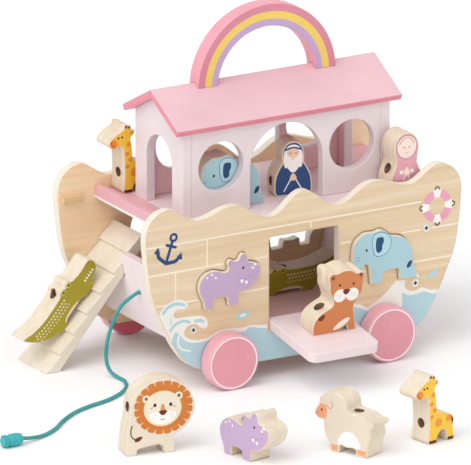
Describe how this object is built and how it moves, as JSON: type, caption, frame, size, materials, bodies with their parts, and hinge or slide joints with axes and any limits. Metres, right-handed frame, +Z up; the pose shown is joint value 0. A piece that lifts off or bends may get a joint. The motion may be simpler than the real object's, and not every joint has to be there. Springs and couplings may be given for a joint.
{
  "type": "noahs ark toy",
  "caption": "Wooden ark pull toy on wheels with a roofed cabin, carrying handle, stair ramp, drop-down side door, shape-sorting holes and loose animal blocks.",
  "frame": {"origin": "on the floor, midway between the two axles and the two side panels", "axes": "+X to the stern, +Y to the far side away from the side door, +Z up"},
  "size_m": [0.4952, 0.4284, 0.3175],
  "materials": {
    "birch_panel": "clear satin",
    "pale_pink_wood": "satin paint",
    "pink_wood": "satin paint",
    "roof_wood": "satin paint",
    "rainbow_wood": "satin paint",
    "wheel_wood": "satin paint",
    "bare_wood": "bare",
    "steel": "plated",
    "cord": "round cord",
    "bead": "gloss",
    "hippo_wood": "printed",
    "elephant_wood": "printed",
    "giraffe_wood": "printed",
    "lion_wood": "printed",
    "lioness_wood": "printed",
    "sheep_wood": "printed",
    "crocodile_wood": "printed",
    "man_wood": "printed",
    "woman_wood": "printed"
  },
  "bodies": {
    "ark": {"near_hull_panel": "birch_panel", "far_hull_panel": "birch_panel", "bow_wall": "pale_pink_wood", "stern_wall": "pale_pink_wood", "hold_floor": "pale_pink_wood", "deck": "pink_wood", "bow_cleats": "bare_wood", "hull_screws": "steel", "cabin_near_wall": "pale_pink_wood", "cabin_far_wall": "pale_pink_wood", "cabin_bow_gable": "pale_pink_wood", "cabin_stern_gable": "pale_pink_wood", "roof_near_panel": "roof_wood", "roof_far_panel": "roof_wood", "ridge_beam": "pale_pink_wood", "rainbow_handle": "rainbow_wood", "handle_dowels": "bare_wood", "door_pin": "steel", "ramp_pin": "steel", "pull_cord": "cord", "cord_bead": "bead", "cord_knot": "cord"},
    "front_wheels": {"front_axle": "bare_wood", "front_near_wheel": "wheel_wood", "front_far_wheel": "wheel_wood"},
    "rear_wheels": {"rear_axle": "bare_wood", "rear_near_wheel": "wheel_wood", "rear_far_wheel": "wheel_wood"},
    "side_door": {"side_door_panel": "pale_pink_wood"},
    "boarding_ramp": {"ramp_board": "bare_wood"},
    "sorter_hippo_figure": {"sorter_hippo": "hippo_wood"},
    "sorter_elephant_figure": {"sorter_elephant": "elephant_wood"},
    "loose_lion_figure": {"loose_lion": "lion_wood"},
    "loose_hippo_figure": {"loose_hippo": "hippo_wood"},
    "loose_sheep_figure": {"loose_sheep": "sheep_wood"},
    "loose_giraffe_figure": {"loose_giraffe": "giraffe_wood"},
    "deck_giraffe_figure": {"deck_giraffe": "giraffe_wood"},
    "hooded_woman_figure": {"hooded_woman": "woman_wood"},
    "bearded_man_figure": {"bearded_man": "man_wood"},
    "cabin_elephant_figure": {"cabin_elephant": "elephant_wood"},
    "hold_crocodile_figure": {"hold_crocodile": "crocodile_wood"},
    "ramp_crocodile_figure": {"ramp_crocodile": "crocodile_wood"},
    "door_lioness_figure": {"door_lioness": "lioness_wood"}
  },
  "joints": [
    {"name": "front_axle_turn", "type": "hinge", "parent": "ark", "child": "front_wheels", "pos_m": [-0.08, 0, 0.0254], "axis": [0, 1, 0], "continuous": true},
    {"name": "rear_axle_turn", "type": "hinge", "parent": "ark", "child": "rear_wheels", "pos_m": [0.08, 0, 0.0254], "axis": [0, 1, 0], "continuous": true},
    {"name": "side_door_hinge", "type": "hinge", "parent": "ark", "child": "side_door", "pos_m": [0, -0.0785, 0.04927], "axis": [-1, 0, 0], "range_deg": [0, 98.5]},
    {"name": "ramp_hinge", "type": "hinge", "parent": "ark", "child": "boarding_ramp", "pos_m": [-0.11959, 0.048, 0.091], "axis": [0, 1, 0], "range_deg": [0, 50]},
    {"name": "sorter_hippo_pull", "type": "slide", "parent": "ark", "child": "sorter_hippo_figure", "axis": [0, -1, 0], "range_m": [0, 0.03]},
    {"name": "sorter_elephant_pull", "type": "slide", "parent": "ark", "child": "sorter_elephant_figure", "axis": [0, -1, 0], "range_m": [0, 0.03]},
    {"name": "loose_lion_lift", "type": "slide", "parent": "ark", "child": "loose_lion_figure", "axis": [0, 0, 1], "range_m": [0, 0.04]},
    {"name": "loose_hippo_lift", "type": "slide", "parent": "ark", "child": "loose_hippo_figure", "axis": [0, 0, 1], "range_m": [0, 0.04]},
    {"name": "loose_sheep_lift", "type": "slide", "parent": "ark", "child": "loose_sheep_figure", "axis": [0, 0, 1], "range_m": [0, 0.04]},
    {"name": "loose_giraffe_lift", "type": "slide", "parent": "ark", "child": "loose_giraffe_figure", "axis": [0, 0, 1], "range_m": [0, 0.04]},
    {"name": "deck_giraffe_lift", "type": "slide", "parent": "ark", "child": "deck_giraffe_figure", "axis": [0, 0, 1], "range_m": [0, 0.03]},
    {"name": "hooded_woman_lift", "type": "slide", "parent": "ark", "child": "hooded_woman_figure", "axis": [0, 0, 1], "range_m": [0, 0.015]},
    {"name": "bearded_man_lift", "type": "slide", "parent": "ark", "child": "bearded_man_figure", "axis": [0, 0, 1], "range_m": [0, 0.015]},
    {"name": "cabin_elephant_lift", "type": "slide", "parent": "ark", "child": "cabin_elephant_figure", "axis": [0, 0, 1], "range_m": [0, 0.015]},
    {"name": "hold_crocodile_lift", "type": "slide", "parent": "ark", "child": "hold_crocodile_figure", "axis": [0, 0, 1], "range_m": [0, 0.01]},
    {"name": "ramp_crocodile_lift", "type": "slide", "parent": "boarding_ramp", "child": "ramp_crocodile_figure", "axis": [-0.7716, 0, 0.6361], "range_m": [0, 0.02]},
    {"name": "door_lioness_lift", "type": "slide", "parent": "side_door", "child": "door_lioness_figure", "axis": [0, -0.1478, 0.989], "range_m": [0, 0.01]}
  ]
}
